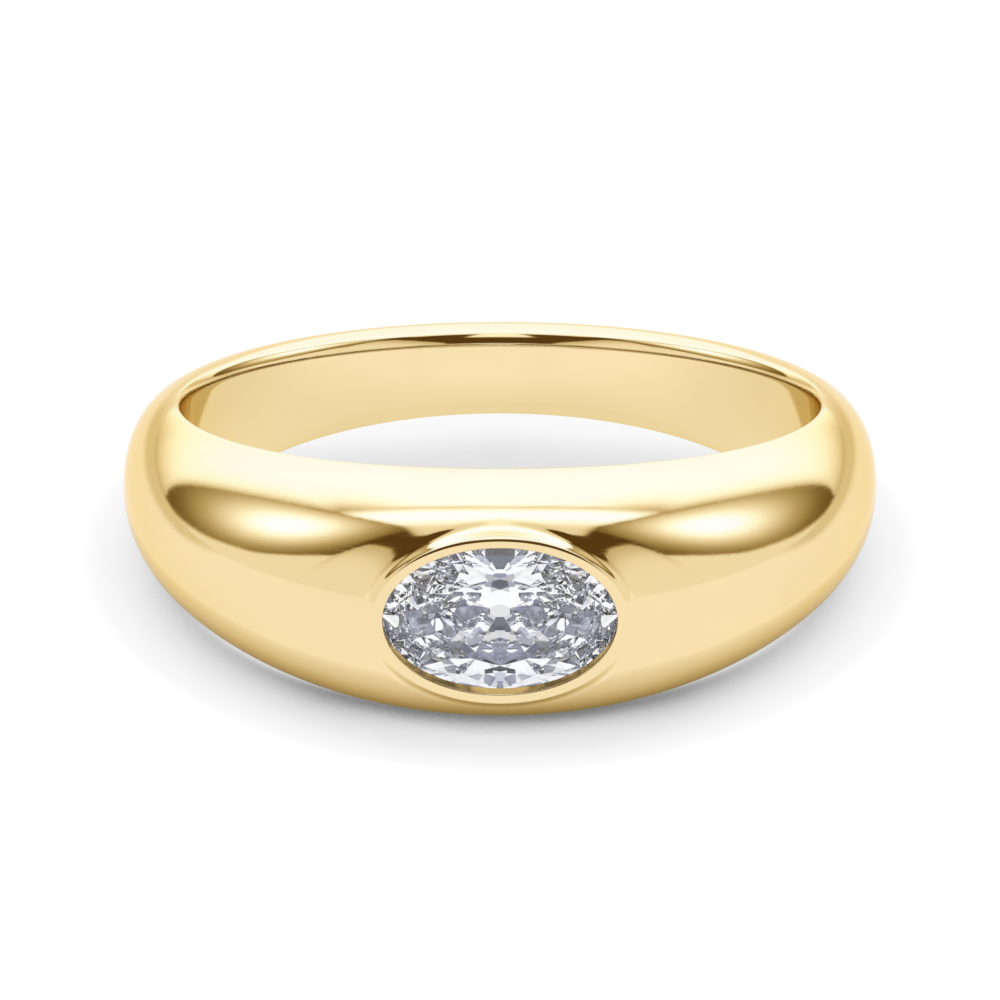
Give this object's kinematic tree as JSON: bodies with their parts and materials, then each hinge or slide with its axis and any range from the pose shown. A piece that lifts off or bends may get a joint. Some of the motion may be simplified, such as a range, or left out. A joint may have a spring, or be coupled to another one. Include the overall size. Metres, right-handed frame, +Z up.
{
  "type": "bezel set ring",
  "caption": "Tapered domed finger ring with an oval faceted stone set flush behind a slim raised oval rim, lying on its side.",
  "frame": {"origin": "middle of the footprint box, on the surface that the ring lies on", "axes": "+Z up from the surface, -Y towards the stone, +X to the right as seen from the stone's side; the finger hole's axis leans 6.9 degrees from +Z towards +Y"},
  "size_m": [0.0196, 0.021, 0.0065],
  "materials": {
    "yellow_gold": "high polish yellow gold",
    "clear_stone": "polished facets, colourless diamond"
  },
  "bodies": {
    "root": {"gold_ring": "yellow_gold", "oval_stone": "clear_stone"}
  },
  "joints": []
}
